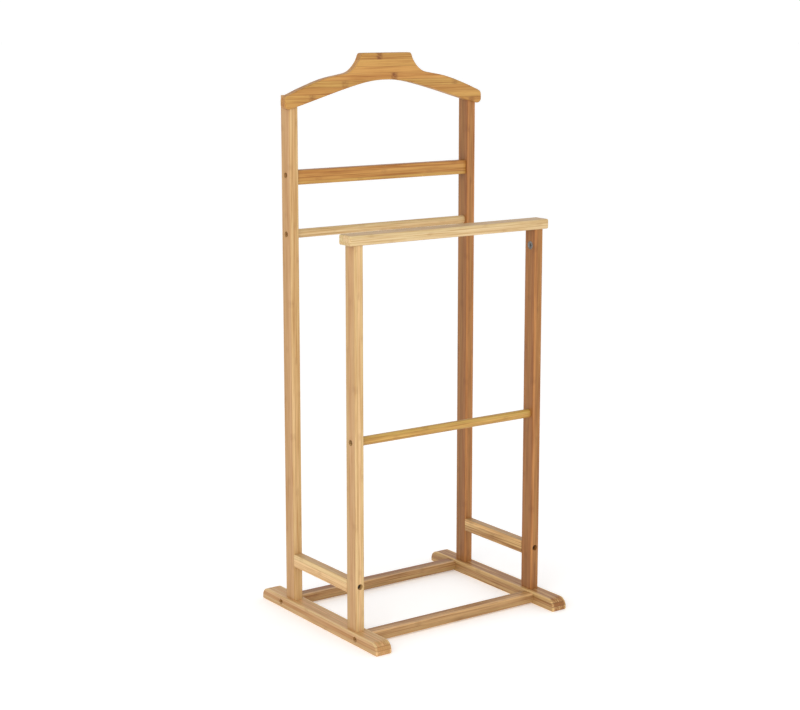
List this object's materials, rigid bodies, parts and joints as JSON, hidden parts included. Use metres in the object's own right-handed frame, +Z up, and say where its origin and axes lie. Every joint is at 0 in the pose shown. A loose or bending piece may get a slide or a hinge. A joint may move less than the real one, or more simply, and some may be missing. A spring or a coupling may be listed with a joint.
{
  "type": "valet stand",
  "caption": "Free-standing bamboo valet stand: jacket hanger over rear posts, flat trouser bar over shorter front posts, round rods, and a base of foot rails and stretchers.",
  "frame": {"origin": "on the floor, at the middle of the stand's outline", "axes": "+Z up, -Y towards the front, where the trouser bar is, +X to the right seen from the front"},
  "size_m": [0.434, 0.38, 1.02],
  "materials": {
    "foot_rail_bamboo": "satin lacquered bamboo in three plies, pale over and under a caramel middle",
    "stretcher_bamboo": "satin lacquered caramel bamboo",
    "post_bamboo_left": "satin lacquered pale straw bamboo strips",
    "post_bamboo_right": "satin lacquered warm honey bamboo strips",
    "side_rail_bamboo": "satin lacquered honey bamboo strips",
    "trouser_bar_bamboo": "satin lacquered pale blond bamboo strips",
    "rod_bamboo": "satin lacquered golden bamboo, turned",
    "cross_rail_bamboo": "satin lacquered golden caramel bamboo strips with darker nodes",
    "hanger_bamboo": "satin lacquered golden bamboo board of long strips with darker nodes",
    "bolt_steel": "black-oxide steel, socket head",
    "insert_brass": "machined brass",
    "nut_steel": "zinc-plated steel",
    "dowel_wood": "raw beech, unfinished",
    "cam_zinc": "die-cast zinc alloy"
  },
  "bodies": {
    "root": {"foot_rail_left": "foot_rail_bamboo", "foot_rail_right": "foot_rail_bamboo", "base_stretcher_front": "stretcher_bamboo", "base_stretcher_rear": "stretcher_bamboo", "front_post_left": "post_bamboo_left", "front_post_right": "post_bamboo_right", "rear_post_left": "post_bamboo_left", "rear_post_right": "post_bamboo_right", "side_rail_left": "side_rail_bamboo", "side_rail_right": "side_rail_bamboo", "trouser_bar": "trouser_bar_bamboo", "front_rod": "rod_bamboo", "rear_rod": "rod_bamboo", "cross_rail": "cross_rail_bamboo", "hanger": "hanger_bamboo", "short_bolts": "bolt_steel", "stretcher_bolts": "bolt_steel", "side_rail_bolts": "bolt_steel", "cross_rail_bolts": "bolt_steel", "hanger_bolts": "bolt_steel", "threaded_inserts": "insert_brass", "barrel_nuts": "nut_steel", "dowels": "dowel_wood", "cam_locks": "cam_zinc", "cam_studs": "nut_steel"}
  },
  "joints": []
}
